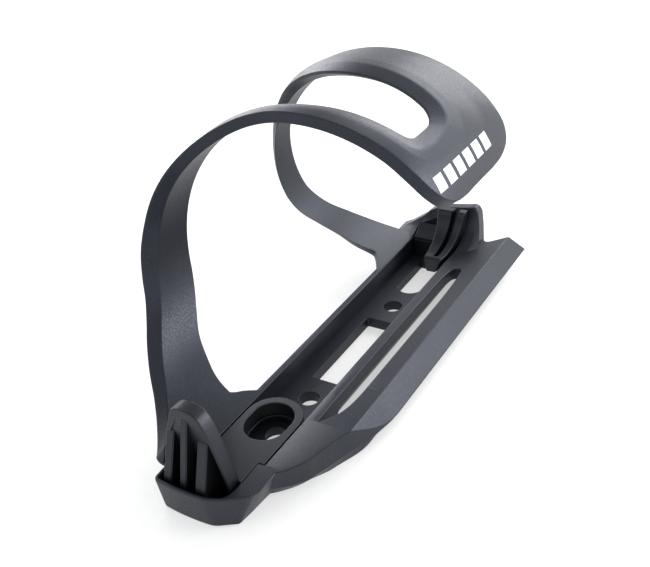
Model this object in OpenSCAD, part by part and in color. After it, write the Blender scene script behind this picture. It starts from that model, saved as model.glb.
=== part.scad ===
// Side-entry water bottle cage, lying on its mount face.
// +X is the open side where the bottle slides in, +Y runs along the bottle towards its neck.

/* [Bottle and arms] */
// Inner radius of the arms, a little under a standard bottle so that they grip
grip_r = 35.3; // [35:0.1:36]
// Wall thickness of the arms and of the front pad
arm_t = 3; // [2.6:0.1:3.2]
// Angle of the pad's free edge above the horizontal, seen along the bottle
pad_edge_angle = 21.5; // [19:0.5:26]

/* [Spine] */
// Thickness of the channel floor that the frame bolts clamp
floor_t = 3.1; // [2.6:0.1:3.6]
// Height of the rails and of the deck above the mount face
deck_h = 9.3; // [8.8:0.1:9.8]
// Inner width of the channel that takes both stops
channel_w = 16.4; // [16:0.1:16.8]
// Outer width of the spine over its two rails
spine_w = 21.2; // [20.6:0.1:22]
// Width of the windows in the channel floor
window_w = 8.2; // [7.6:0.1:8.6]
// Length of the middle floor window
window_l = 31.2; // [28:0.1:32]

/* [Frame bolts] */
// Spacing of the two bolts that hold the cage to a frame
bolt_pitch = 64; // [64:0.1:64]
// Spacing of the two round holes in the channel floor
hole_pitch = 48; // [47:0.1:49]
// Diameter of each bolt hole, for an M5 bolt
bolt_d = 5.5; // [5.3:0.1:5.8]

/* [Stops] */
// Running gap between a stop and the channel wall
stop_gap = 0.2; // [0.15:0.05:0.3]
// Height of the lower stop above the mount face
lower_tab_h = 29.5; // [27:0.5:31]
// Height of the upper stop above the mount face
upper_tab_h = 20.5; // [19.5:0.5:21]

/* [Hidden] */
$fn = 96;
eps = 0.01;
// Anything this long passes right through the part.
through = 200;

// The bottle's axis is set so that the bottle rests on the inner edges of both rails.
grip_out = grip_r + arm_t;
axis_z = deck_h + sqrt(grip_r * grip_r - channel_w * channel_w / 4);

// Places across the spine.
channel_x = channel_w / 2;
spine_x = spine_w / 2;
stop_x = channel_x - stop_gap;
boss_x = window_w / 2 - 0.25;
root_x = -10.6;
skirt_x = -16.6;
slot_x = 16;
ridge_x = 20.7;
wing_x = 24.5;
end_right_x = 14.8;
end_left_x = -15.6;

// Heights. The wing is a flange whose outer edge falls away from its ridge.
wing_z = 3.1;
wing_t = 0.6;
flange_z = 5.2;

// Places along the spine. The frame bolts sit evenly about the origin.
lower_bolt_y = -bolt_pitch / 2;
upper_hole_y = bolt_pitch / 2;
lower_hole_y = upper_hole_y - hole_pitch;
mid_y = (lower_hole_y + upper_hole_y) / 2;
lower_window_y = -28.4;
lower_window_end = -44;
upper_window_y = 44.4;
lip_y = -63;
tab_front_y = -57.4;
tab_back_y = -53.3;
narrow_y = -47.4;
nose_y = 52.6;
upper_window_end = 60;
stop_back_y = 67.3;
wall_y = 69.2;
wall_t = 3.2;
wing_end_y = 78.6;

// The oval seat for the bolt head runs from under the bolt towards the near end.
seat_y = -35;
seat_front_y = -32.3;
seat_r = 5.7;
seat_ledge_z = 5.4;
seat_inner_r = 5.3;
seat_floor_z = 3.6;

// Ribs of the lower stop's tab.
rib_pitch = 5.3;
first_rib_x = -11.5;
rib_w = 2.4;

// Upper stop: a block across the channel, and a hook on its open side with one groove.
block_y = 62.6;
hook_x = 0.4;
groove_x = 4.6;
groove_w = 1.9;

// A cubic curve through two end points, steered by two middle points.
function curve(a, b, c, d, n) = [
    for (i = [0 : n])
        let (t = i / n, u = 1 - t)
            u * u * u * a + 3 * u * u * t * b + 3 * u * t * t * c + t * t * t * d
];

function backwards(points) = [for (i = [len(points) - 1 : -1 : 0]) points[i]];

// Height on the arms at an angle round the bottle.
function wrap_z(angle) = axis_z + (grip_r + arm_t / 2) * sin(angle);

pad_z = wrap_z(pad_edge_angle);
window_z = wrap_z(50);
top_z = axis_z + grip_out + 1;

// Side outlines (y, z). Edges of the two arms, from the deck up to the top of the bottle.
near_lower = concat(
    curve([-57.4, 4], [-50, 9], [-43, 13], [-38, 20], 5),
    curve([-35, 24], [-26.5, 38], [-24, 52], [-18.5, 70], 6),
    [[-10, top_z]]
);
near_upper = concat(
    curve([-30.5, 4], [-27, 16], [-20, 22], [-15, 31], 6),
    curve([-14.2, 34], [-11, 47], [-9.5, 60], [-6.5, 74], 5),
    [[-4.6, top_z]]
);
far_lower = concat(
    curve([51, 4], [47, 12], [40, 20], [34, 30], 6),
    curve([32.5, 34], [30, 44], [29, 54], [26.5, 66], 5),
    [[18, 78.5], [17.5, top_z]]
);
far_upper = concat(
    curve([65, 4], [62.5, 12], [56, 18], [49.5, 26], 6),
    curve([47, 30], [43, 40], [41.5, 54], [39, 66], 5),
    [[37, 78], [36.6, top_z]]
);

// Edges of the front pad on the open side, from the top of the bottle down to its free edge.
pad_lower = concat(
    [[-10, top_z]],
    curve([-9.2, 79.5], [-6.5, 77], [-4.5, 70], [-3, 65.5], 6),
    curve([-2.4, 64], [-0.5, 60], [1, pad_z], [5, pad_z], 5)
);
pad_upper = concat(
    curve([31, pad_z], [36.5, pad_z], [38.5, 59], [40, 63], 5),
    curve([40.6, 66], [40.5, 72], [39, 77], [37, 80], 5),
    [[36.6, top_z]]
);
pad_gap = concat(
    [[-4.6, top_z], [-3.9, 80], [-1.2, 79]],
    curve([1, 77], [3, 74.5], [3.6, window_z], [6, window_z], 5),
    curve([11, window_z], [17, window_z], [18.5, 74.5], [18.6, 77.5], 5),
    [[18, 80], [17.5, top_z]]
);

// Deck outline in plan, from the closed side round the near end to the wing's far end.
deck_plan = concat(
    [[root_x, -30], [skirt_x, -36], [skirt_x, tab_front_y]],
    [[-14.4, tab_front_y], [-14.2, -61.4], [-12.4, lip_y]],
    curve([1.5, lip_y], [5.5, lip_y], [12.4, -58], [12.4, -52], 6),
    curve([12.4, -49.5], [17, -43], [18.5, -36.5], [20.4, -28], 7),
    [[wing_x, -14], [wing_x, wing_end_y], [ridge_x, 74.3], [end_right_x, 68.6]],
    [[end_right_x, wall_y + wall_t], [-11, wall_y + wall_t]],
    [[end_left_x, 66], [end_left_x, 56], [root_x, 44]]
);

// Cross-section (x, z) of the deck and wing, and of the thicker skirt at the near end.
deck_section = [
    [skirt_x - 0.1, 1.5], [-15, 0], [14, 0], [15.5, flange_z], [20.6, flange_z],
    [22.5, wing_z - wing_t], [wing_x, wing_z], [ridge_x, deck_h], [skirt_x - 0.1, deck_h]
];
skirt_section = [[0, 0], [20.5, 0], [20.5, flange_z + 1], [0, flange_z + 1]];

// Long slot between the right rail and the wing.
slot_plan = concat(
    curve([11.1, -28.6], [13.5, -26.5], [slot_x, -22], [slot_x, -14], 5),
    [[slot_x, 34], [15, 50.4], [12.1, 49.4], [spine_x + 0.3, 44]]
);

// Trough behind the near lip, for the foot of the lower stop's ribs.
trough_plan = [
    [-14.3, tab_front_y], [-12.9, tab_front_y], [-12.9, -61.6], [1, -61.6],
    [6.4, -58], [6.4, -52.6], [-14.3, -52.6]
];
trough_z = 1.6;

// Side outline (y, z) of the end wall with its curved foot, and its front outline (x, z).
wall_side = concat(
    [[wall_y + wall_t, 0], [wall_y + wall_t, 22], [wall_y, 22]],
    curve([wall_y, 19], [wall_y - 0.5, 12], [wall_y - 3, 9.6], [wall_y - 10, deck_h - 0.4], 8),
    [[wall_y - 10, 0]]
);
wall_front = [
    [end_left_x, 0], [end_right_x, 0], [end_right_x, deck_h], [13.5, 20.6], [12.6, 21.2],
    [-1.5, 20], [-4.4, 17.6], [-11.6, 11.6], [end_left_x, deck_h]
];

// Front outlines (x, z) of the lower stop's tab and of the hollows between its ribs.
tab_outline = [
    [-14, 2], [5.6, 2], [5.6, deck_h], [2.2, 25], [0.4, 28.6], [-1.4, lower_tab_h],
    [-5.6, lower_tab_h], [-7.4, 28.6], [-8.4, 26]
];
left_hollow = [[-8.9, 2.8], [-6.4, 2.8], [-6.4, 24], [-7.2, 24]];
middle_hollow = [[-3.6, 2.8], [-1.1, 2.8], [-1.1, 26], [-3.6, 26]];
right_hollow = [[1.7, 2.8], [3.9, 2.8], [1.7, 20]];

// Side outlines (y, z) of a tab rib, of the upper stop's hook and of the floor of its groove.
rib_side = [
    [tab_front_y + 1, 2], [-61.2, 2], [-61.2, 7], [tab_front_y, 25], [tab_front_y + 1, 25]
];
hook_side = concat(
    [[nose_y, floor_t + 0.05], [nose_y, deck_h - 0.3]],
    curve([nose_y + 3, deck_h - 0.1], [60, deck_h], [64, 12.5], [65, upper_tab_h - 1], 8),
    [[65.6, upper_tab_h], [stop_back_y, upper_tab_h], [stop_back_y, floor_t + 0.05]]
);
groove_side = concat(
    [[nose_y + 2.6, deck_h + 20], [nose_y + 2.6, deck_h - 1]],
    curve([nose_y + 4, deck_h - 2.4], [62, deck_h - 2], [66, 12], [66.2, upper_tab_h + 1], 8)
);

// Puts an outline drawn as (y, z) onto the YZ plane, with its thickness along X.
module side(x0, x1) {
    translate([x0, 0, 0]) rotate([90, 0, 90]) linear_extrude(height = x1 - x0) children();
}

// Puts an outline drawn as (x, z) onto the XZ plane, with its thickness along Y.
module front(y0, y1) {
    translate([0, y1, 0]) rotate([90, 0, 0]) linear_extrude(height = y1 - y0) children();
}

// Vertical prism from z0 up to z1.
module rise(z0, z1) {
    translate([0, 0, z0]) linear_extrude(height = z1 - z0) children();
}

// Rectangle in plan between two x and two y.
module patch(x0, x1, y0, y1) {
    translate([x0, y0]) square([x1 - x0, y1 - y0]);
}

// Tube round the bottle, from which both arms and the pad are cut.
module bottle_tube() {
    translate([0, 0, axis_z]) rotate([90, 0, 0]) difference() {
        cylinder(r = grip_out, h = through, center = true, $fn = 180);
        cylinder(r = grip_r, h = through + 2, center = true, $fn = 180);
    }
}

// Arms on the closed side, and on the open side the pad that joins them.
module arms() {
    join_x = -8;
    intersection() {
        bottle_tube();
        union() {
            side(-through / 4, join_x) polygon(concat(near_lower, backwards(near_upper)));
            side(-through / 4, join_x) polygon(concat(far_lower, backwards(far_upper)));
            side(join_x - eps, through / 4) difference() {
                polygon(concat(pad_lower, pad_upper));
                polygon(pad_gap);
            }
        }
    }
}

// Solid deck with its wing, and the skirt that thickens it at the near end.
module deck() {
    intersection() {
        rise(0, deck_h) polygon(deck_plan);
        union() {
            front(-70, 85) polygon(deck_section);
            front(-70, -20) polygon(skirt_section);
        }
    }
}

// Upright wall at the far end, with a curved foot that blends it into the deck.
module end_wall() {
    intersection() {
        side(end_left_x, end_right_x) polygon(wall_side);
        front(50, 75) polygon(wall_front);
    }
}

// Round-ended opening in the channel floor under a stop.
module stop_window(y_round, y_end) {
    rise(-1, floor_t + 1) {
        translate([0, y_round]) circle(d = window_w);
        patch(-window_w / 2, window_w / 2, min(y_round, y_end), max(y_round, y_end));
    }
}

module bolt_hole(y) {
    translate([0, y, -1]) cylinder(d = bolt_d, h = 20, $fn = 48);
}

// One moulding: spine, near lip, wing, arms, pad and end wall.
module cage_body() {
    color("#2c2d31") difference() {
        union() {
            arms();
            deck();
            end_wall();
        }
        rise(floor_t, 40) {
            patch(-channel_x, channel_x, narrow_y, wall_y - 1.5);
            patch(-channel_x, 6.4, tab_back_y, narrow_y + 1);
        }
        rise(trough_z, 40) polygon(trough_plan);
        rise(-1, floor_t + 1)
            patch(-window_w / 2, window_w / 2, mid_y - window_l / 2, mid_y + window_l / 2);
        stop_window(upper_window_y, upper_window_end);
        stop_window(lower_window_y, lower_window_end);
        bolt_hole(lower_hole_y);
        bolt_hole(upper_hole_y);
        rise(-1, 30) polygon(slot_plan);
        // Core pocket in the top of the end wall.
        rise(16, 22) patch(9, 12.6, wall_y + 1, wall_y + wall_t + 1);
    }
}

// Oval prism under the head of the lower frame bolt.
module seat(r, z) {
    rise(z, 40) {
        translate([0, seat_y]) circle(r = r);
        translate([0, seat_front_y]) circle(r = r);
        patch(-r, r, seat_y, seat_front_y);
    }
}

// Ribbed tab that holds the foot of the bottle, on a block that drops into the channel.
module lower_stop() {
    color("#232427") difference() {
        union() {
            rise(floor_t + 0.05, deck_h) {
                translate([0, lower_bolt_y]) circle(r = stop_x);
                patch(-stop_x, stop_x, narrow_y + stop_gap, lower_bolt_y);
                patch(-stop_x, 6.2, tab_back_y - 1, narrow_y + stop_gap + eps);
            }
            // Boss in the floor opening, which the frame bolt clamps against the frame.
            rise(0, floor_t + 1) {
                translate([0, lower_window_y]) circle(r = boss_x);
                patch(-boss_x, boss_x, lower_window_end + 0.3, lower_window_y);
            }
            front(tab_front_y + 0.2, tab_back_y) polygon(tab_outline);
            for (x = [first_rib_x : rib_pitch : 0]) side(x, x + rib_w) polygon(rib_side);
        }
        front(-70, tab_back_y - 1.4) polygon(left_hollow);
        front(-70, tab_back_y - 1.4) polygon(middle_hollow);
        front(-70, tab_back_y - 1.4) polygon(right_hollow);
        seat(seat_r, seat_ledge_z);
        seat(seat_inner_r, seat_floor_z);
        bolt_hole(lower_bolt_y);
    }
}

// Block in the far end of the channel, whose curved hook meets the neck of the bottle.
module upper_stop() {
    color("#232427") difference() {
        union() {
            side(hook_x, stop_x) polygon(hook_side);
            rise(floor_t + 0.05, deck_h - 0.3) patch(-stop_x, stop_x, block_y, stop_back_y);
        }
        side(groove_x - groove_w / 2, groove_x + groove_w / 2) polygon(groove_side);
    }
}

cage_body();
lower_stop();
upper_stop();
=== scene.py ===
import math

import bpy
import numpy as np
from mathutils import Matrix, Vector


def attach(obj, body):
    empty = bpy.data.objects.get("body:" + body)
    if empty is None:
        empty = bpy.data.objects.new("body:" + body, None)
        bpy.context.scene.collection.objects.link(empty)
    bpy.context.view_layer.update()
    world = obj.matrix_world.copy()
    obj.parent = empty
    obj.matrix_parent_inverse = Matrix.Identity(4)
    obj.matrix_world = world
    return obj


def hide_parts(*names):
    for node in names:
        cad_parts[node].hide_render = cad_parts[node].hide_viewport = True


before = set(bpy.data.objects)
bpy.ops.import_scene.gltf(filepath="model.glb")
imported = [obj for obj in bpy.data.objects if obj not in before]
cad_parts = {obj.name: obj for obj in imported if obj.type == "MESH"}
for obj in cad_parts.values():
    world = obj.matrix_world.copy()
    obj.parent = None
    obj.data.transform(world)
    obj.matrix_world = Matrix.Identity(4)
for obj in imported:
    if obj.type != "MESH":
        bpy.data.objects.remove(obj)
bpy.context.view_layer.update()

# ---------------------------------------------------------------------------
# Arms and front pad. One springy ribbon of glass-filled nylon, moulded in one
# with the spine: it leaves the spine on the closed side, wraps over the bottle
# as two arms and joins them in a pad on the open side. All sizes are in mm.

MM = 0.001
deck_h = 9.3
channel_x = 8.2
grip_r = 35.3
arm_t = 3.0
bend_r = grip_r + arm_t / 2
axis_z = deck_h + math.sqrt(grip_r ** 2 - channel_x ** 2)

# Edges of the ribbon as (angle round the bottle in degrees, place along the spine in mm).
# The outer edge runs up the near arm, along the pad's free end and down the far arm. The gap
# edge faces the gap between the arms. Entries with one number lie across from each other.
outer_edge = [
    (257, -57.3), (250, -57.3), (244.2, -57.4), (243.3, -57.1), (242.2, -56.1), (235, -50.6),
    (226.3, -45.4), (217.2, -41.2), (208, -36.8), (201, -33.4), (194, -30.8), (186, -29.2),
    (176, -27.6), (165, -25.4), (151, -23.0), (140, -20.6), (130, -17.6), (120, -14.2),
    (110, -11.6), (100, -10.1), (88, -9.4), (75, -8.3), (62, -6.8), (50, -5.0), (40, -3.6),
    (32, -1.8), (26.5, 0.8), (22.8, 4.6), (21.5, 9.5), (21.5, 15), (21.5, 21), (21.5, 27),
    (22.6, 33), (25.6, 37.4), (31, 40.0), (40, 40.7), (52, 40.3), (65, 39.5), (80, 38.5),
    (92, 37.8), (105, 37.7), (118, 38.0), (130, 38.4), (143, 39.0), (155, 39.8), (173, 42.0),
    (185, 43.6), (197, 45.6), (210, 49.5), (221, 54.4), (231, 59.0), (239, 61.9), (244.5, 63.6),
    (247, 64.2), (249.5, 64.7), (257, 66.0),
]
gap_edge = [
    (257, -23.2), (250.5, -26.8), (247, -29.5), (246.2, -29.9), (245, -29.8), (237, -28.6),
    (228, -26.0), (219, -23.2), (209.5, -18.9), (202, -15.9), (195, -14.0), (187, -12.8),
    (176, -11.5), (165, -10.3), (152, -9.0), (140, -7.8), (129, -7.0), (118, -6.2), (107, -5.5),
    (97, -4.7), (87, -3.4), (76, -1.3), (66, 0.6), (58, 2.1), (53, 3.2), (50.6, 4.3),
    (49.7, 5.6), (49.5, 7.0), (49.5, 8.4), (49.5, 9.8), (49.5, 11.2), (49.6, 12.6),
    (50.2, 14.4), (52.2, 16.4), (55.6, 17.8), (61, 18.5), (69, 18.9), (79, 18.9), (90, 18.8),
    (100, 19.6), (110, 21.3), (120, 23.4), (131, 25.6), (143, 27.6), (155, 28.7), (173, 30.1),
    (184, 30.8), (195, 32.0), (206, 34.8), (216, 39.1), (227, 43.2), (236.5, 45.0),
    (243.5, 46.7), (246.6, 47.3), (248, 46.6), (257, 37.6),
]
rows_per_entry = 7

# The ribbon's section, each size as (entry number in the edges, mm): the bevel at the gap edge,
# the crest beside it, the radii of the gap edge, crest and outer edge, and how far the two
# edges slant in, above and below.
bevel_width = [(0, 3.2), (18, 2.4), (24, 3.6), (32, 4.4), (40, 4.6), (53, 4.2)]
crest_width = [(0, 2.4), (18, 1.4), (24, 3), (32, 5), (36, 3.2), (53, 3)]
gap_radius = [(0, 37.9), (18, 38.1), (24, 38.0), (32, 37.8), (43, 37.9), (53, 37.9)]
crest_radius = [(0, 38.2), (12, 38.4), (18, 38.5), (24, 38.7), (32, 39.1), (42, 39.0),
                (46, 38.5), (53, 38.2)]
outer_radius = [(0, 38.1), (24, 38.2), (32, 38.3), (42, 38.2), (53, 38.1)]
gap_slant_above = [(0, 0.0), (42, 0.0), (44.5, 2.8), (49, 2.8), (53, 0.6)]
gap_slant_below = [(0, 0.4), (22, 0.4), (25, 2.4), (27, 3.2), (38, 4.0), (41, 3.0), (44, 0.0),
                   (53, 0.0)]
outer_slant_below = [(0, 0.8), (5, 2.8), (8, 3.4), (13, 3.3), (15, 2.2), (17, 1.0), (19, 0.2),
                     (22, -0.3), (24, -1.0), (26, -1.2), (27.5, -0.6), (29, 0.6), (35, 0.8),
                     (40, 1.2), (43, 3.0), (47, 3.0), (49, 0.4), (53, 0.4)]
ribbon_corner_r = [0.3, 0.6, 0.6, 1.5, 0.35, 0.3, 0.35, 1.5, 0.35, 0.3]


def along(table, places):
    """Sizes at the given places, read off straight lines between the table's (place, size)."""
    return np.interp(places, *zip(*table))


def through(knots, places, t):
    """Smooth curve through knots that sit at the given places, read at t: each knot's slope is
    the slope between its neighbours, and a cubic joins one knot to the next."""
    knots, places = np.asarray(knots, float), np.asarray(places, float)
    slope = np.gradient(knots, places, axis=0)
    i = np.clip(np.searchsorted(places, t, side="right") - 1, 0, len(places) - 2)
    h = (places[i + 1] - places[i])[:, None]
    u = (t - places[i])[:, None] / h
    return ((1 + 2 * u) * (1 - u) ** 2 * knots[i] + u * (1 - u) ** 2 * h * slope[i]
            + u * u * (3 - 2 * u) * knots[i + 1] + u * u * (u - 1) * h * slope[i + 1])


def round_corners(loops, radii, steps=3):
    """Rounds the corners of a stack of closed polygons, (rows, corners, 2). Each corner becomes
    a short quadratic curve between two points on its sides, which lie its radius away from it,
    or a little under half of the side where that is less."""
    radii = np.broadcast_to(radii, loops.shape[:2])[..., None]
    to_a, to_b = np.roll(loops, 1, axis=1) - loops, np.roll(loops, -1, axis=1) - loops
    len_a = np.linalg.norm(to_a, axis=2, keepdims=True)
    len_b = np.linalg.norm(to_b, axis=2, keepdims=True)
    a = loops + to_a / len_a * np.minimum(radii, 0.45 * len_a)
    b = loops + to_b / len_b * np.minimum(radii, 0.45 * len_b)
    u = np.linspace(0, 1, steps + 1)[:, None]
    a, b, corner = a[:, :, None], b[:, :, None], loops[:, :, None]
    curve = (1 - u) ** 2 * a + 2 * u * (1 - u) * corner + u * u * b
    return curve.reshape(len(loops), -1, 2)


def skin(name, rings):
    """Closed mesh object from a stack of rings of points in mm, (rows, points, 3): four-sided
    faces join each ring to the next, and the first and last rings are filled in. The volume it
    encloses, summed over its triangles, has to come out positive, or its faces are turned."""
    rows, count, _ = rings.shape
    i, j = np.meshgrid(np.arange(rows - 1), np.arange(count), indexing="ij")
    this, following = i * count, (i + 1) * count
    beside = (j + 1) % count
    quads = np.stack([this + j, this + beside, following + beside, following + j], -1)
    ends = [list(range(count))[::-1], list(range((rows - 1) * count, rows * count))]
    points = rings.reshape(-1, 3)
    mesh = bpy.data.meshes.new(name)
    mesh.from_pydata((points * MM).tolist(), [], quads.reshape(-1, 4).tolist() + ends)
    mesh.calc_loop_triangles()
    corners = np.empty(len(mesh.loop_triangles) * 3, int)
    mesh.loop_triangles.foreach_get("vertices", corners)
    a, b, c = points[corners.reshape(-1, 3)].transpose(1, 0, 2)
    if np.einsum("ij,ij->", a, np.cross(b, c)) < 0:
        mesh.flip_normals()
    piece = bpy.data.objects.new(name, mesh)
    bpy.context.scene.collection.objects.link(piece)
    return piece


def arm_ribbon():
    """Section across the ribbon, carried along it. Each row has corners (d, r), with d the
    distance in from the gap edge and r the distance from the bottle's axis: a bevel rises from
    the gap to a narrow crest, a wide band falls to the outer edge, and that edge slants in
    under itself. Each of these takes no more than its share of the width where the ribbon is
    narrow. The arc length angle * bend_r is bent back round the axis."""
    arc = np.array([np.pi / 180 * bend_r, 1])
    outer, gap = np.array(outer_edge) * arc, np.array(gap_edge) * arc
    step = (np.linalg.norm(np.diff((outer + gap) / 2, axis=0), axis=1)
            + 0.5 * np.linalg.norm(np.diff(outer, axis=0), axis=1))
    places = np.concatenate([[0], np.cumsum(step)])
    entry = np.linspace(0, len(places) - 1, rows_per_entry * (len(places) - 1) + 1)
    t = np.interp(entry, np.arange(len(places)), places)
    outer, gap = through(outer, places, t), through(gap, places, t)
    width = np.linalg.norm(outer - gap, axis=1)

    lean = along(gap_slant_above, entry)
    bevel = np.maximum(np.minimum(along(bevel_width, entry), 0.34 * width), lean + 0.8)
    crest = bevel + np.minimum(along(crest_width, entry), 0.2 * width)
    gap_r, crest_r = along(gap_radius, entry), along(crest_radius, entry)
    outer_r = along(outer_radius, entry)
    gap_under = np.minimum(along(gap_slant_below, entry), 0.45 * width)
    outer_under = np.minimum(along(outer_slant_below, entry), 0.4 * width)
    inner_r = np.full_like(width, grip_r)
    corners = np.stack([
        np.stack([lean, gap_r], -1),
        np.stack([bevel, crest_r - 0.05], -1),
        np.stack([crest, crest_r], -1),
        np.stack([0.5 * (crest + width), 0.55 * crest_r + 0.45 * outer_r], -1),
        np.stack([width, outer_r], -1),
        np.stack([width - 0.15 * outer_under, outer_r - 0.6], -1),
        np.stack([width - outer_under, inner_r], -1),
        np.stack([0.5 * width, inner_r], -1),
        np.stack([gap_under, inner_r], -1),
        np.stack([0.7 * lean + 0.08 * gap_under, gap_r - 0.8], -1),
    ], axis=1)
    loop = round_corners(corners, ribbon_corner_r)
    d, r = loop[..., 0], loop[..., 1]
    flat = gap[:, None] + (outer - gap)[:, None] * (d / width[:, None])[..., None]
    angle = flat[..., 0] / bend_r
    x, z = r * np.cos(angle), axis_z + r * np.sin(angle)
    return skin("arm_ribbon", np.stack([x, flat[..., 1], z], -1))


ribbon = arm_ribbon()

# ---------------------------------------------------------------------------
# Spine and wing. The flat deck under the bottle, with two rails, and on the open
# side a thin wing whose outer edge falls away from a ridge. Same moulding as the arms.

rail_x = 10.1
foot_x = 7.9
floor_z = 3.1
ridge_x = 20.7
wing_x = 24.5
wing_z = 3.1
wing_slope = (deck_h - wing_z) / (wing_x - ridge_x)
round_r = 0.35

# The open side's outermost x at each y: the block beside the lip, then the widening wing.
side_y = [-50, -48.6, -48.3, -43.7, -37.9, -33.1, -27, -21, -16.4, -11, -5, 85]
side_x = [11.4, 11.6, 12.0, 15.8, 17.8, 19.2, 21.3, 23.2, 24.2, 24.6, 24.6, 24.6]
# At each y, the width of the chamfer below that side and how far its foot leans in.
chamfer_width = [(-50, 5.4), (-47, 4.8), (-39, 2.9), (-34.5, 1.4), (-27, 0.9), (-21, 0.5),
                 (-11, 0.4)]
side_lean = [(-50, 3.0), (-48.3, 2.7), (-45, 1.2), (-41, 0.3), (-36, 0)]
# Underside corners: mm in from the near block's foot, then x and z under the wing.
underside = [(5, foot_x, 0), (2.4, 10.6, 5.6), (1.6, 16, 5.6), (0.8, 20.6, 5.2), (0, 22.5, 2.5)]
# The block turns into the wing from this y, over this length.
blend_y = -29
blend_length = 12


def spine():
    """Section (x, z) carried along the spine. Near the lip it is a block with an upright wall
    and a chamfer below; further on the wall turns into the wing's falling facet, and the
    underside lifts to leave a flange. The share of the change that is done is three times the
    square of the share of its length, less twice the cube."""
    y = np.concatenate([[-50, -48.8, -48.5, -48.2], np.linspace(-47.9, -11, 74),
                        [-8, -5, 20, 40, 60, 85]])
    side = through(np.array(side_x)[:, None], side_y, y)[:, 0]
    far = np.clip((y - blend_y) / blend_length, 0, 1)
    far = far * far * (3 - 2 * far)
    ridge = np.minimum(ridge_x, side - 0.12)
    facet_z = np.maximum(deck_h - wing_slope * (side - ridge), wing_z + 0.12)
    foot = side - along(chamfer_width, y)
    zero = np.zeros_like(y)
    corners = np.stack([
        np.stack([zero - rail_x, zero + deck_h], -1),
        np.stack([zero - rail_x, zero + 3.3], -1),
        np.stack([zero - foot_x, zero], -1),
        *[np.stack([(foot - back) * (1 - far) + x * far, z * far], -1) for back, x, z in underside],
        np.stack([side - along(side_lean, y), zero + wing_z - 0.05], -1),
        np.stack([side, facet_z], -1),
        np.stack([ridge, zero + deck_h], -1),
    ], axis=1)
    loop = round_corners(corners, round_r)
    places = np.broadcast_to(y[:, None], loop.shape[:2])
    return skin("spine", np.stack([loop[..., 0], places, loop[..., 1]], -1))


def grow(outline, amount):
    """Moves each corner of an outline outwards so that every side moves by amount: along the
    sum of the two sides' normals, divided by one plus their product. It runs anticlockwise."""
    side = np.roll(outline, -1, axis=0) - outline
    normal = np.stack([side[:, 1], -side[:, 0]], -1) / np.linalg.norm(side, axis=1, keepdims=True)
    before = np.roll(normal, 1, axis=0)
    out = (normal + before) / (1 + (normal * before).sum(axis=1, keepdims=True))
    return outline + out * np.reshape(amount, (-1, 1))


def stack(name, outline, levels, radius=0, lie="xyz"):
    """Upright solid on an outline with rounded corners: at each level (height, growth) the
    outline grows by that much. lie says which axes its two directions and the height lie
    along. An outline that runs clockwise, with a negative area, is turned round first."""
    outline = np.asarray(outline, float)
    if np.any(radius):
        outline = round_corners(outline[None], radius, 4)[0]
    side = np.roll(outline, -1, axis=0)
    if (outline[:, 0] * side[:, 1] - side[:, 0] * outline[:, 1]).sum() < 0:
        outline = outline[::-1]
    rings = [np.column_stack([grow(outline, g), np.full(len(outline), h)]) for h, g in levels]
    order = [lie.index(axis) for axis in "xyz"]
    return skin(name, np.stack(rings)[..., order])


def rim(top, r, way=1):
    """Levels of a rounded edge that ends at the top: a quarter circle of radius r, inwards on a
    solid and outwards on a cutter, where way is -1."""
    turn = np.linspace(0, np.pi / 2, 4)
    return [(top - r + r * math.sin(a), -way * r * (1 - math.cos(a))) for a in turn]


def cut(name, outline, low, top=deck_h, r=round_r, radius=0):
    """Cutter down to low whose mouth at top is flared, so that it leaves a rounded edge."""
    return stack(name, outline, [(low, 0)] + rim(top, r, -1) + [(top + 30, r)], radius)


def combine(base, others, how):
    """Joins other closed solids to base, or cuts them out of it, and removes them."""
    for other in others:
        boolean = base.modifiers.new(other.name, "BOOLEAN")
        boolean.operation, boolean.solver, boolean.object = how, "MANIFOLD", other
    depsgraph = bpy.context.evaluated_depsgraph_get()
    mesh = bpy.data.meshes.new_from_object(base.evaluated_get(depsgraph))
    base.modifiers.clear()
    base.data = mesh
    for other in others:
        bpy.data.objects.remove(other)


deck = spine()

# Near lip: a low rounded wall round the foot of the lower stop, leaning in towards its bottom.
# Each row has one corner's rim (x, y) and radius, and the same corner's foot (x, y) and radius.
lip_corners = np.array([
    (-14.2, -46.0, 0.1, -13.6, -46.0, 0.1),
    (-14.2, -57.4, 0.1, -13.6, -57.2, 0.1),
    (-13.9, -62.35, 1.6, -13.3, -61.9, 1.6),
    (-7.8, -63.0, 2.0, -7.8, -62.4, 2.0),
    (-1.8, -62.95, 2.0, -1.8, -62.4, 2.0),
    (2.3, -62.6, 2.0, 2.6, -62.0, 1.4),
    (6.5, -60.65, 2.0, 5.0, -60.4, 1.0),
    (11.0, -57.15, 1.8, 7.4, -58.9, 0.5),
    (12.3, -54.15, 1.2, 7.9, -54.5, 1.2),
    (12.2, -50.0, 0.5, 8.2, -50.0, 0.5),
    (12.1, -46.0, 0.1, 8.6, -46.0, 0.1),
])
lip_rim_r = 0.6


def lip():
    """The lip's wall leans in a straight line from its rim down to its foot. The rim is rounded,
    and the foot has a small chamfer."""
    top = round_corners(lip_corners[None, :, 0:2], lip_corners[:, 2], 5)[0]
    foot = round_corners(lip_corners[None, :, 3:5], lip_corners[:, 5], 5)[0]
    levels = [(0, 0.6), (0.5, 0.1)] + [(h, -g) for h, g in rim(deck_h, lip_rim_r)]
    rings = [np.column_stack([grow(foot + (top - foot) * h / deck_h, -inset),
                              np.full(len(top), h)]) for h, inset in levels]
    return skin("lip", np.stack(rings))


combine(deck, [lip()], "UNION")

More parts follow.
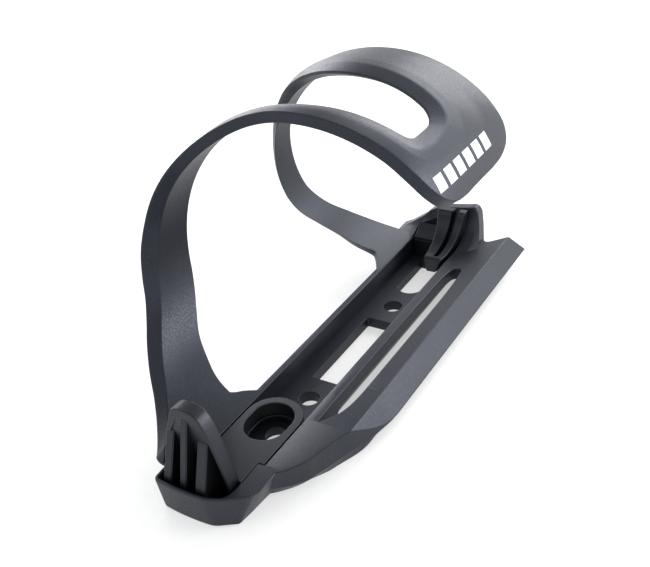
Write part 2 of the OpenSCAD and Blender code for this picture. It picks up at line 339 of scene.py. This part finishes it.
# End wall: an upright web across the far end of the channel, swept up from the deck. Its height
# and the start of its sweep are given across the spine, as (x, z) and (x, y).
wall_y = 69.2
wall_t = 3.2
wall_top = [(-15.4, 9.4), (-12.4, 10.8), (-7, 14.6), (-4.2, 17.3), (-1.5, 18.6), (11.6, 20.6),
            (12.8, 20.5), (13.5, 20.0), (14, 18.8)]
sweep_start = [(-15.4, 57), (9.5, 56), (12.4, 58), (14, 62.5)]
lean_x = 8
lean_length = 6
lean_share = 0.16


def end_wall():
    """Side profile (y, z) carried across the spine: it sweeps up from the deck, and its height
    follows the wall's front outline, so that the sweep flattens out to the closed side. Towards
    the open side the wall leans in, in proportion to its height."""
    x = np.concatenate([np.linspace(-15.4, -4, 20), np.linspace(-3, 12, 14),
                        np.linspace(12.4, 14, 7)])
    top, start = along(wall_top, x), along(sweep_start, x)[:, None]
    u = np.linspace(0, 1, 13)
    y = (1 - u) ** 2 * start + 2 * u * (1 - u) * (wall_y - 1.4) + u * u * wall_y
    z = deck_h - 0.1 + (top - deck_h + 0.1)[:, None] * u * u
    zero = np.zeros((len(x), 1))
    y = np.hstack([y, zero + wall_y + wall_t, zero + wall_y + wall_t, start])
    z = np.hstack([z, z[:, -1:], zero + 1, zero + 1])
    loop = round_corners(np.stack([y, z], -1), [0.1] * 12 + [0.6, 0.6, 0.1, 0.1])
    x = x[:, None]
    lean = np.clip((x - lean_x) / lean_length, 0, 1) * lean_share
    lean = lean * np.maximum(loop[..., 1] - deck_h, 0)
    return skin("end_wall", np.stack([x - lean, loop[..., 0], loop[..., 1]], -1))


combine(deck, [end_wall()], "UNION")
combine(deck, [ribbon], "UNION")

# Openings: the channel between the rails, the trough behind the lip, the floor windows, a spare
# hole and the upper bolt hole, the long slot beside the rail, and the slanting far end.
bolt_r = 2.75
hole_ys = (-16, 32)
channel_ys = (-47.4, wall_y - 1.5)
window_x = 4.1
window_ys = (-7.6, 23.6)
upper_window_y = 44.4
lower_window_y = -28.4
slot_outline = [
    (11.3, -28.8), (12.9, -27.2), (14.4, -24.6), (15.6, -20.4), (16, -15), (16, 34), (15.6, 44),
    (14.9, 50.6), (12.2, 49.5), (11.4, 44), (11.2, 20), (11.2, -22),
]
slot_corner_r = [0.5, 2, 3, 3, 3, 8, 8, 1.6, 1.6, 3, 8, 4]
trough_outline = [
    (-14.3, -57.4), (-12.9, -57.4), (-12.9, -61.7), (1.2, -61.7), (5.2, -60.2), (6.2, -58),
    (6.4, -52.7), (-14.3, -52.7),
]
trough_corner_r = [0.2, 0.2, 1.2, 2, 1.5, 1, 0.3, 0.2]
far_outline = [
    (-30, wall_y + wall_t), (13, wall_y + wall_t), (13, 69.9), (15.2, 68.6), (16.2, 69.1),
    (26, 80.1), (26, 95), (-30, 95),
]
far_corner_r = [0.1, 0.3, 0.3, 0.6, 0.6, 0.1, 0.1, 0.1]


def ring_outline(y, r):
    """Circle of radius r about (0, y)."""
    a = np.linspace(0, 2 * np.pi, 40, endpoint=False)
    return np.column_stack([r * np.cos(a), y + r * np.sin(a)])


def round_ended(y_round, y_end, half):
    """Strip with a half circle about (0, y_round) at one end and square corners at y_end."""
    turn = 0 if y_round > y_end else np.pi
    side = half if y_round < y_end else -half
    a = np.linspace(turn, turn + np.pi, 17)
    arc = np.column_stack([half * np.cos(a), y_round + half * np.sin(a)])
    return np.vstack([arc, [(side, y_end), (-side, y_end)]])


def box_outline(x0, x1, y0, y1):
    """Corners of a rectangle, anticlockwise."""
    return [(x0, y0), (x1, y0), (x1, y1), (x0, y1)]


openings = [
    cut("channel_cut", box_outline(-channel_x, channel_x, *channel_ys), floor_z, radius=0.4),
    cut("tab_cut", box_outline(-channel_x, 6.4, -54, -46), floor_z, radius=0.3),
    stack("trough_cut", trough_outline,
          [(2.4, -2.6), (4.5, -1.1)] + rim(deck_h, 0.5, -1) + [(40, 0.5)], trough_corner_r),
    cut("window_cut", box_outline(-window_x, window_x, *window_ys), -1, floor_z, 0.3, 0.6),
    cut("upper_window_cut", round_ended(upper_window_y, 60, window_x), -1, floor_z, 0.3),
    cut("lower_window_cut", round_ended(lower_window_y, -44, window_x), -1, floor_z, 0.3),
    cut("slot_cut", slot_outline, -1, r=0.4, radius=slot_corner_r),
    stack("far_cut", far_outline, [(-3, 0), (40, 0)], far_corner_r),
]
openings += [cut("bolt_hole_cut", ring_outline(y, bolt_r), -1, floor_z, 0.25) for y in hole_ys]
combine(deck, openings, "DIFFERENCE")
deck.name = deck.data.name = "cage_moulding"

crease_degrees = 28


def finish_mesh(piece, material):
    """One material, and smooth shading with creases where faces meet at a sharper angle than
    the limit. Normals are weighted by face area, so that flats stay flat next to their
    rounded edges."""
    piece.data.materials.clear()
    piece.data.materials.append(material)
    piece.data.shade_smooth()
    piece.data.set_sharp_from_angle(angle=math.radians(crease_degrees))
    weighted = piece.modifiers.new("weighted", "WEIGHTED_NORMAL")
    weighted.keep_sharp, weighted.weight = True, 50


def linear(code):
    """sRGB hex to linear RGBA: each channel c becomes ((c + 0.055) / 1.055) ** 2.4, or c / 12.92
    where it is very dark."""
    c = np.array([int(code[i:i + 2], 16) / 255 for i in (1, 3, 5)])
    return (*np.where(c <= 0.04045, c / 12.92, ((c + 0.055) / 1.055) ** 2.4), 1.0)


def add_node(tree, kind, settings=None, **sockets):
    """Adds one node with its settings. A socket is given a value, or another node's output, and
    is called by its name, or by its number where several share a name."""
    node = tree.nodes.new(kind)
    for key, value in (settings or {}).items():
        setattr(node, key, value)
    for key, value in sockets.items():
        socket = node.inputs[int(key[1:]) if key[1:].isdigit() else key.replace("_", " ")]
        if isinstance(value, bpy.types.NodeSocket):
            tree.links.new(value, socket)
        else:
            socket.default_value = value
    return node


# Glass fibres are 0.01 mm thick and would not show, so their flecks are drawn 0.32 mm across.
nylon_ior = 1.53
flow_mm = 24
fleck_mm = 0.32
glass_fleck = "#6f717a"


def moulded_nylon(name, dark, light, roughness, grain_mm, grain_depth, fleck):
    """Glass-filled nylon as it leaves a spark-eroded mould: near black, satin, with a fine grain
    and, on long strokes of the flow, faint pale flecks of glass at the surface. The grain sets
    the bump, and moves the roughness a little to both sides of its own value."""
    material = bpy.data.materials.new(name)
    material.use_nodes = True
    tree = material.node_tree
    shader = tree.nodes["Principled BSDF"]
    place = add_node(tree, "ShaderNodeTexCoord").outputs["Object"]
    grain = add_node(tree, "ShaderNodeTexNoise", Vector=place, Scale=1 / (grain_mm * MM),
                     Detail=2.0, Roughness=0.6)
    flow = add_node(tree, "ShaderNodeTexNoise", Vector=place, Scale=1 / (flow_mm * MM),
                    Detail=3.0, Roughness=0.55)
    speck = add_node(tree, "ShaderNodeTexNoise", Vector=place, Scale=1 / (fleck_mm * MM),
                     Detail=1.0, Roughness=0.5)
    tint = add_node(tree, "ShaderNodeMapRange", Value=flow.outputs["Fac"],
                    From_Min=0.35, From_Max=0.65)
    base = add_node(tree, "ShaderNodeMix", {"data_type": "RGBA"}, Factor=tint.outputs["Result"],
                    _6=linear(dark), _7=linear(light))
    spot = add_node(tree, "ShaderNodeMapRange", Value=speck.outputs["Fac"],
                    From_Min=0.66, From_Max=0.8, To_Max=fleck)
    colour = add_node(tree, "ShaderNodeMix", {"data_type": "RGBA"}, Factor=spot.outputs["Result"],
                      _6=base.outputs[2], _7=linear(glass_fleck))
    tree.links.new(colour.outputs[2], shader.inputs["Base Color"])
    gloss = add_node(tree, "ShaderNodeMapRange", Value=grain.outputs["Fac"], From_Min=0.3,
                     From_Max=0.7, To_Min=roughness - 0.06, To_Max=roughness + 0.08)
    tree.links.new(gloss.outputs["Result"], shader.inputs["Roughness"])
    bump = add_node(tree, "ShaderNodeBump", Strength=0.35, Distance=grain_depth * MM,
                    Height=grain.outputs["Fac"])
    tree.links.new(bump.outputs["Normal"], shader.inputs["Normal"])
    shader.inputs["IOR"].default_value = nylon_ior
    # The reflections are tinted pale blue: painted light colour that stands in for the studio's
    # bluish light, not a colour of the nylon itself.
    shader.inputs["Specular Tint"].default_value = linear("#e8edfc")
    return material


def print_bars(material, y_range, z_range, pitch, share, ink):
    """Pad-printed row of plain bars on the outside of the pad. The paint shows where the place
    along the pad, wrapped into one pitch, falls inside the bar's share of it, and where the
    place lies in the row's box and on the outer side of the wall."""
    tree = material.node_tree
    shader = tree.nodes["Principled BSDF"]
    unprinted = shader.inputs["Base Color"].links[0].from_socket
    place = add_node(tree, "ShaderNodeTexCoord").outputs["Object"]
    axes = add_node(tree, "ShaderNodeSeparateXYZ", Vector=place)
    x, y, z = axes.outputs["X"], axes.outputs["Y"], axes.outputs["Z"]
    start = y_range[0] * MM
    wrapped = add_node(tree, "ShaderNodeMath", {"operation": "WRAP"}, _0=y,
                       _1=start + pitch * MM, _2=start)
    across = add_node(tree, "ShaderNodeVectorMath", {"operation": "MULTIPLY"}, _0=place,
                      _1=(1, 0, 1))
    reach = add_node(tree, "ShaderNodeVectorMath", {"operation": "DISTANCE"},
                     _0=across.outputs["Vector"], _1=(0, 0, axis_z * MM))
    painted = 1.0
    for value, how, edge in ((y, "GREATER_THAN", y_range[0]), (y, "LESS_THAN", y_range[1]),
                             (z, "GREATER_THAN", z_range[0]), (z, "LESS_THAN", z_range[1]),
                             (x, "GREATER_THAN", 0.5 * grip_r),
                             (reach.outputs["Value"], "GREATER_THAN", grip_r + 0.7 * arm_t),
                             (wrapped.outputs[0], "LESS_THAN", y_range[0] + share * pitch)):
        inside = add_node(tree, "ShaderNodeMath", {"operation": how}, _0=value, _1=edge * MM)
        painted = add_node(tree, "ShaderNodeMath", {"operation": "MULTIPLY"},
                           _0=inside.outputs[0], _1=painted).outputs[0]
    colour = add_node(tree, "ShaderNodeMix", {"data_type": "RGBA"}, Factor=painted,
                      _6=unprinted, _7=linear(ink))
    tree.links.new(colour.outputs[2], shader.inputs["Base Color"])


# Grained black nylon: the grain scatters highlights to a satin, and the flow clouds the black.
# The real grain is a tenth or two of a millimetre, too fine to show, so it is drawn coarser.
body_nylon = moulded_nylon("glass_filled_nylon", dark="#12141b", light="#191c24",
                           roughness=0.42, grain_mm=0.5, grain_depth=0.06, fleck=0.35)
print_bars(body_nylon, y_range=(0.3, 29.9), z_range=(62.1, 65.7), pitch=5, share=0.72,
           ink="#d9dde4")
finish_mesh(deck, body_nylon)
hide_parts("cage_body")
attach(deck, "cage")

# ---------------------------------------------------------------------------
# Lower stop. A separate moulding of smoother nylon: a block that drops into the
# channel under the first frame bolt, with a tall ribbed tab for the bottle's foot.

stop_x = 7.75
stop_foot = floor_z + 0.1
stop_top = deck_h - 0.05
tab_front = -57.2
tab_back = -53.3
tab_foot = 2.4
lower_bolt_y = -32
tab_outline = [
    (-14.2, tab_foot), (5.2, tab_foot), (5.3, 9.3), (3.2, 19), (1.2, 25.6), (-0.6, 28.4),
    (-3.0, 29.2), (-6.0, 29.3), (-7.9, 28.6), (-9.1, 26), (-11.5, 20), (-14.2, 9.3),
]
tab_corner_r = [0.3, 0.3, 2, 4, 3.5, 2.5, 1.5, 1, 1, 3, 4, 3]
# The hollow's (depth y, top z), and the x of its left and right sides at heights z.
hollow_foot = 2.6
hollow_depths = [(-70, 26.5), (tab_front, 26.5), (tab_front + 0.4, 21.5),
                 (tab_front + 1.2, 16.5), (tab_back - 1.3, 10)]
hollow_left = [(2.6, -13.2), (9.3, -13.2), (20, -10.4), (26, -6.8), (27.7, -6.2)]
hollow_right = [(2.6, 4.6), (9.3, 4.6), (19, 2.5), (25, 0.7), (26.6, -0.4), (27.7, -2.6)]
# Each rib's x where it comes out of the lip, its x at its top, half its thickness, its height.
ribs = ((-10.5, -9.7, 1.2, 22), (-5.7, -4.2, 1.0, 27.6), (-0.7, -0.5, 1.5, 21))
rib_corner_r = [0.1, 0.1, 0.3, 0.8, 2.5, 1, 0.1]


def stop_block():
    """Outline of a half circle round the frame bolt, straight sides back to the tab and a step
    round the lip's end, raised to just under the deck with a rounded top edge."""
    a = np.linspace(0, np.pi, 33)
    nose = np.column_stack([stop_x * np.cos(a), lower_bolt_y + stop_x * np.sin(a)])
    sides = [(-stop_x, -47.2), (-stop_x, -54.2), (6.2, -54.2), (6.2, -47.8), (6.5, -47.2),
             (stop_x, -47.2)]
    return stack("lower_stop_block", np.vstack([nose, sides]),
                 [(stop_foot, 0)] + rim(stop_top, 0.3))


def tab():
    """The tab's front outline, (x, z), with rounded edges front and back."""
    levels = [(tab_back, -0.5), (tab_back - 0.15, -0.15), (tab_back - 0.5, 0),
              (tab_front + 0.4, 0), (tab_front + 0.1, -0.12), (tab_front, -0.4)]
    return stack("lower_stop_tab", tab_outline, levels, tab_corner_r, "xzy")


def hollow():
    """Cutter for the tab's front. It reaches the full height of the tab at its face and sinks as
    it gets deeper, so that the face slopes back between the ribs."""
    u = np.linspace(0, 1, 14)
    rings = []
    for y, top in hollow_depths:
        z = hollow_foot + u * (top - hollow_foot)
        x = np.concatenate([along(hollow_left, z), along(hollow_right, z)[::-1]])
        rings.append(np.column_stack([x, np.full(len(x), y), np.concatenate([z, z[::-1]])]))
    return skin("hollow", np.stack(rings))


def rib(x_foot, x_top, half, top):
    """Side outline (y, z) of one rib, drawn in at both of its faces. It leans from x_foot, where
    it comes out of the lip, to x_top."""
    outline = np.array([
        (-61.3, tab_foot), (tab_back - 1, tab_foot), (tab_back - 1, top + 0.4),
        (tab_front + 0.2, top), (tab_front - 0.5, top - 2.5), (-61.0, 9.0), (-61.3, 6.5),
    ])
    outline = round_corners(outline[None], rib_corner_r, 4)[0]
    rings = []
    for across, growth in ((-half, -0.3), (0.3 - half, 0), (half - 0.3, 0), (half, -0.3)):
        y, z = grow(outline, growth).T
        x = x_foot + (x_top - x_foot) * (z - deck_h) / (top - deck_h) + across
        rings.append(np.column_stack([x, y, z]))
    return skin("lower_stop_rib", np.stack(rings))


lower_stop = stop_block()
combine(lower_stop, [tab()], "UNION")
boss = stack("lower_stop_boss", round_ended(lower_window_y, -43.7, window_x - 0.25),
             [(0, -0.3), (0.3, 0), (floor_z + 1, 0)])
combine(lower_stop, [boss], "UNION")
combine(lower_stop, [hollow()], "DIFFERENCE")
combine(lower_stop, [rib(*sizes) for sizes in ribs], "UNION")

# The oval bolt seat: a wide step, a floor inside it, the bolt's hole and the boss's core.
seat_far_y = -32.3
seat_near_y = -35.0
seat_r = 5.7
seat_z = 5.4
seat_floor_r = 5.2
seat_floor_z = 3.4


def seat_outline(r):
    """Oval of two half circles of radius r round the two ends of the bolt seat."""
    a = np.linspace(0, np.pi, 21)
    far = np.column_stack([r * np.cos(a), seat_far_y + r * np.sin(a)])
    near = np.column_stack([-r * np.cos(a), seat_near_y - r * np.sin(a)])
    return np.vstack([far, near])


combine(lower_stop, [
    cut("seat_cut", seat_outline(seat_r), seat_z, stop_top, 0.35),
    cut("seat_floor_cut", seat_outline(seat_floor_r), seat_floor_z, seat_z, 0.25),
    cut("seat_hole_cut", ring_outline(lower_bolt_y, bolt_r), -1, seat_floor_z, 0.2),
    stack("boss_core_cut", ring_outline(lower_bolt_y, bolt_r),
          [(-1, 0.8), (1.5, 0.8), (1.9, -0.2)]),
], "DIFFERENCE")
lower_stop.name = lower_stop.data.name = "bottle_foot_stop"

# A deeper black nylon with a finer, shallower grain and fewer flecks than the cage's.
stop_nylon = moulded_nylon("smooth_moulded_nylon", dark="#0c0d10", light="#101114",
                           roughness=0.42, grain_mm=0.35, grain_depth=0.03, fleck=0.12)
finish_mesh(lower_stop, stop_nylon)
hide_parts("lower_stop")
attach(lower_stop, "lower_stop_body")

# ---------------------------------------------------------------------------
# Upper stop. A second drop-in moulding of the same nylon at the channel's far end: a hook
# with one groove, which curves up against the end wall to meet the bottle's neck, on a block.

nose_y = 52.6
hook_z = 20.3
hook_back_y = 67.4
# The face's curve (y, z) from its nose to its top, and the share of its length at each knot.
face_knots = [(nose_y, 8.9), (nose_y + 0.35, 9.2), (56.0, 9.7), (59.8, 11.2), (62.6, 13.8),
              (64.2, 17), (64.9, hook_z - 0.4), (65.4, hook_z)]
face_share = [0, 0.04, 0.3, 0.5, 0.68, 0.84, 0.96, 1]
# Across the hook: each point's share of the width at the nose, how much that grows towards the
# top, how deep it lies in the groove, and how far the edge is rounded back.
width_share = np.array([0, 0.04, 0.42, 0.46, 0.63, 0.67, 0.96, 1])
share_shift = np.array([0, 0, 0.13, 0.13, 0.1, 0.1, 0, 0])
in_groove = np.array([0, 0, 0, 1, 1, 0, 0, 0])
edge_drop = np.array([0.25, 0, 0, 0, 0, 0, 0, 0.25])
groove_depth = 2.4
# The groove runs out at this share of the face's length, over this much of it.
groove_end = 0.17
groove_fade = 0.05


def hook():
    """The hook's face is a curve (y, z) from its nose up to its top. Its left side moves from
    x 0.6 to 0.2 on the way and its right side spreads from 6.5 to 9.6, faster near the top. In
    its groove the face is set back by the groove's depth, which fades out at the nose. Behind
    the face it has an upright back and a flat underside at the stop's foot."""
    u = np.linspace(0, 1, 30)
    face = through(face_knots, face_share, u)
    ahead = np.gradient(face, axis=0)
    inward = np.column_stack([ahead[:, 1], -ahead[:, 0]])
    inward = inward / np.linalg.norm(ahead, axis=1, keepdims=True)
    fade = np.clip((u - groove_end) / groove_fade, 0, 1)
    set_back = groove_depth * in_groove[:, None] * fade + edge_drop[:, None]
    front = face + set_back[..., None] * inward
    left, right = 0.6 - 0.4 * u, 6.5 + 3.1 * u ** 1.4
    x = left + (right - left) * (width_share[:, None] + share_shift[:, None] * u)
    under = np.array([(hook_back_y, hook_z), (hook_back_y, stop_foot), (nose_y + 1.8, stop_foot)])
    under_x = x[:, [-1, -1, 0]] - np.array([0, 2.2, 3.0]) * width_share[:, None]
    loop = np.concatenate([front, np.broadcast_to(under, (len(x), 3, 2))], axis=1)
    return skin("hook", np.stack([np.hstack([x, under_x]), loop[..., 0], loop[..., 1]], -1))


# The block across the channel, and the ridge on it that carries on the end wall's sweep.
block_ys = (62.6, 67.2)
sweep_outline = [(62.8, 4), (67.1, 4), (67.1, 13.2), (65.6, 11.4), (62.8, 9.8)]

upper_stop = hook()
seat_block = stack("hook_block", box_outline(-stop_x, stop_x, *block_ys),
                   [(stop_foot, 0)] + rim(deck_h - 0.3, 0.3), 0.4)
block_sweep = stack("hook_block_sweep", sweep_outline,
                    [(-stop_x + 0.1, -0.2), (-stop_x + 0.3, 0), (1.2, 0)], 0.2, "yzx")
combine(upper_stop, [seat_block, block_sweep], "UNION")
upper_stop.name = upper_stop.data.name = "bottle_neck_stop"
finish_mesh(upper_stop, stop_nylon)
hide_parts("upper_stop")
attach(upper_stop, "upper_stop_body")

# ---------------------------------------------------------------------------
# Studio: a pale sheet of paper that glows a little, as if lit from below, with three
# soft lights round the cage and a bright horizon. Not part of the object.

# Uncoated paper: matt and nearly even, with a faint cloud from its fibres.
fibre_mm = 2.5
paper_glow = 0.32

bpy.ops.mesh.primitive_plane_add(size=6, location=(0, 0, 0))
paper = bpy.context.object
paper.name = "paper_floor"
paper_white = bpy.data.materials.new("white_paper")
paper_white.use_nodes = True
tree = paper_white.node_tree
shader = tree.nodes["Principled BSDF"]
place = add_node(tree, "ShaderNodeTexCoord").outputs["Object"]
fibre = add_node(tree, "ShaderNodeTexNoise", Vector=place, Scale=1 / (fibre_mm * MM), Detail=3.0)
tint = add_node(tree, "ShaderNodeMix", {"data_type": "RGBA"}, Factor=fibre.outputs["Fac"],
                _6=linear("#bcbcbb"), _7=linear("#c4c4c3"))
tree.links.new(tint.outputs[2], shader.inputs["Base Color"])
shader.inputs["Roughness"].default_value = 0.8
shader.inputs["Emission Color"].default_value = linear("#ffffff")
shader.inputs["Emission Strength"].default_value = paper_glow
paper.data.materials.append(paper_white)

aim_point = Vector((0, 0, 0.03))


def soft_light(name, place, size, power):
    """Round area light at place, in metres, turned so that its axis runs to the aim point."""
    lamp = bpy.data.lights.new(name, "AREA")
    lamp.shape, lamp.size, lamp.energy = "DISK", size, power
    light = bpy.data.objects.new(name, lamp)
    bpy.context.scene.collection.objects.link(light)
    turn = (aim_point - Vector(place)).to_track_quat("-Z", "Y").to_matrix().to_4x4()
    light.matrix_world = Matrix.Translation(place) @ turn


soft_light("far_softbox", (0.1, 0.95, 0.55), size=0.7, power=4)
soft_light("open_side_softbox", (0.9, 0.6, 0.35), size=0.4, power=4)
soft_light("closed_side_softbox", (-0.85, 0.7, 0.4), size=0.6, power=2.2)

# The world is brightest at its horizon and dims towards the top.
world = bpy.data.worlds.new("studio")
bpy.context.scene.world = world
world.use_nodes = True
sky = world.node_tree
direction = add_node(sky, "ShaderNodeTexCoord").outputs["Generated"]
height = add_node(sky, "ShaderNodeSeparateXYZ", Vector=direction)
glow = add_node(sky, "ShaderNodeMapRange", Value=height.outputs["Z"], From_Min=0.25,
                From_Max=0.85, To_Min=1.0, To_Max=0.45)
sky.links.new(glow.outputs["Result"], sky.nodes["Background"].inputs["Strength"])
sky.nodes["Background"].inputs["Color"].default_value = linear("#fbfcff")

bpy.context.scene.view_settings.view_transform = "Standard"
bpy.context.scene.view_settings.exposure = 0.66
bpy.context.scene.view_settings.gamma = 0.92

# The camera stands at the near end on the open side, above the cage, and looks down its length.
camera_right = Vector((0.84782554, 0.51963418, -0.10569852))
camera_up = Vector((-0.19986334, 0.49776478, 0.84396971))
camera_back = Vector((0.49116851, -0.69441382, 0.52587351))
camera_data = bpy.data.cameras.new("camera")
camera = bpy.data.objects.new("camera", camera_data)
bpy.context.scene.collection.objects.link(camera)
camera_data.sensor_width = 36
camera_data.lens = 48.85
camera_data.clip_start = 0.01
stand = Matrix((camera_right, camera_up, camera_back)).transposed().to_4x4()
stand.translation = Vector((0.11370, -0.16282, 0.15314))
camera.matrix_world = stand
bpy.context.scene.camera = camera
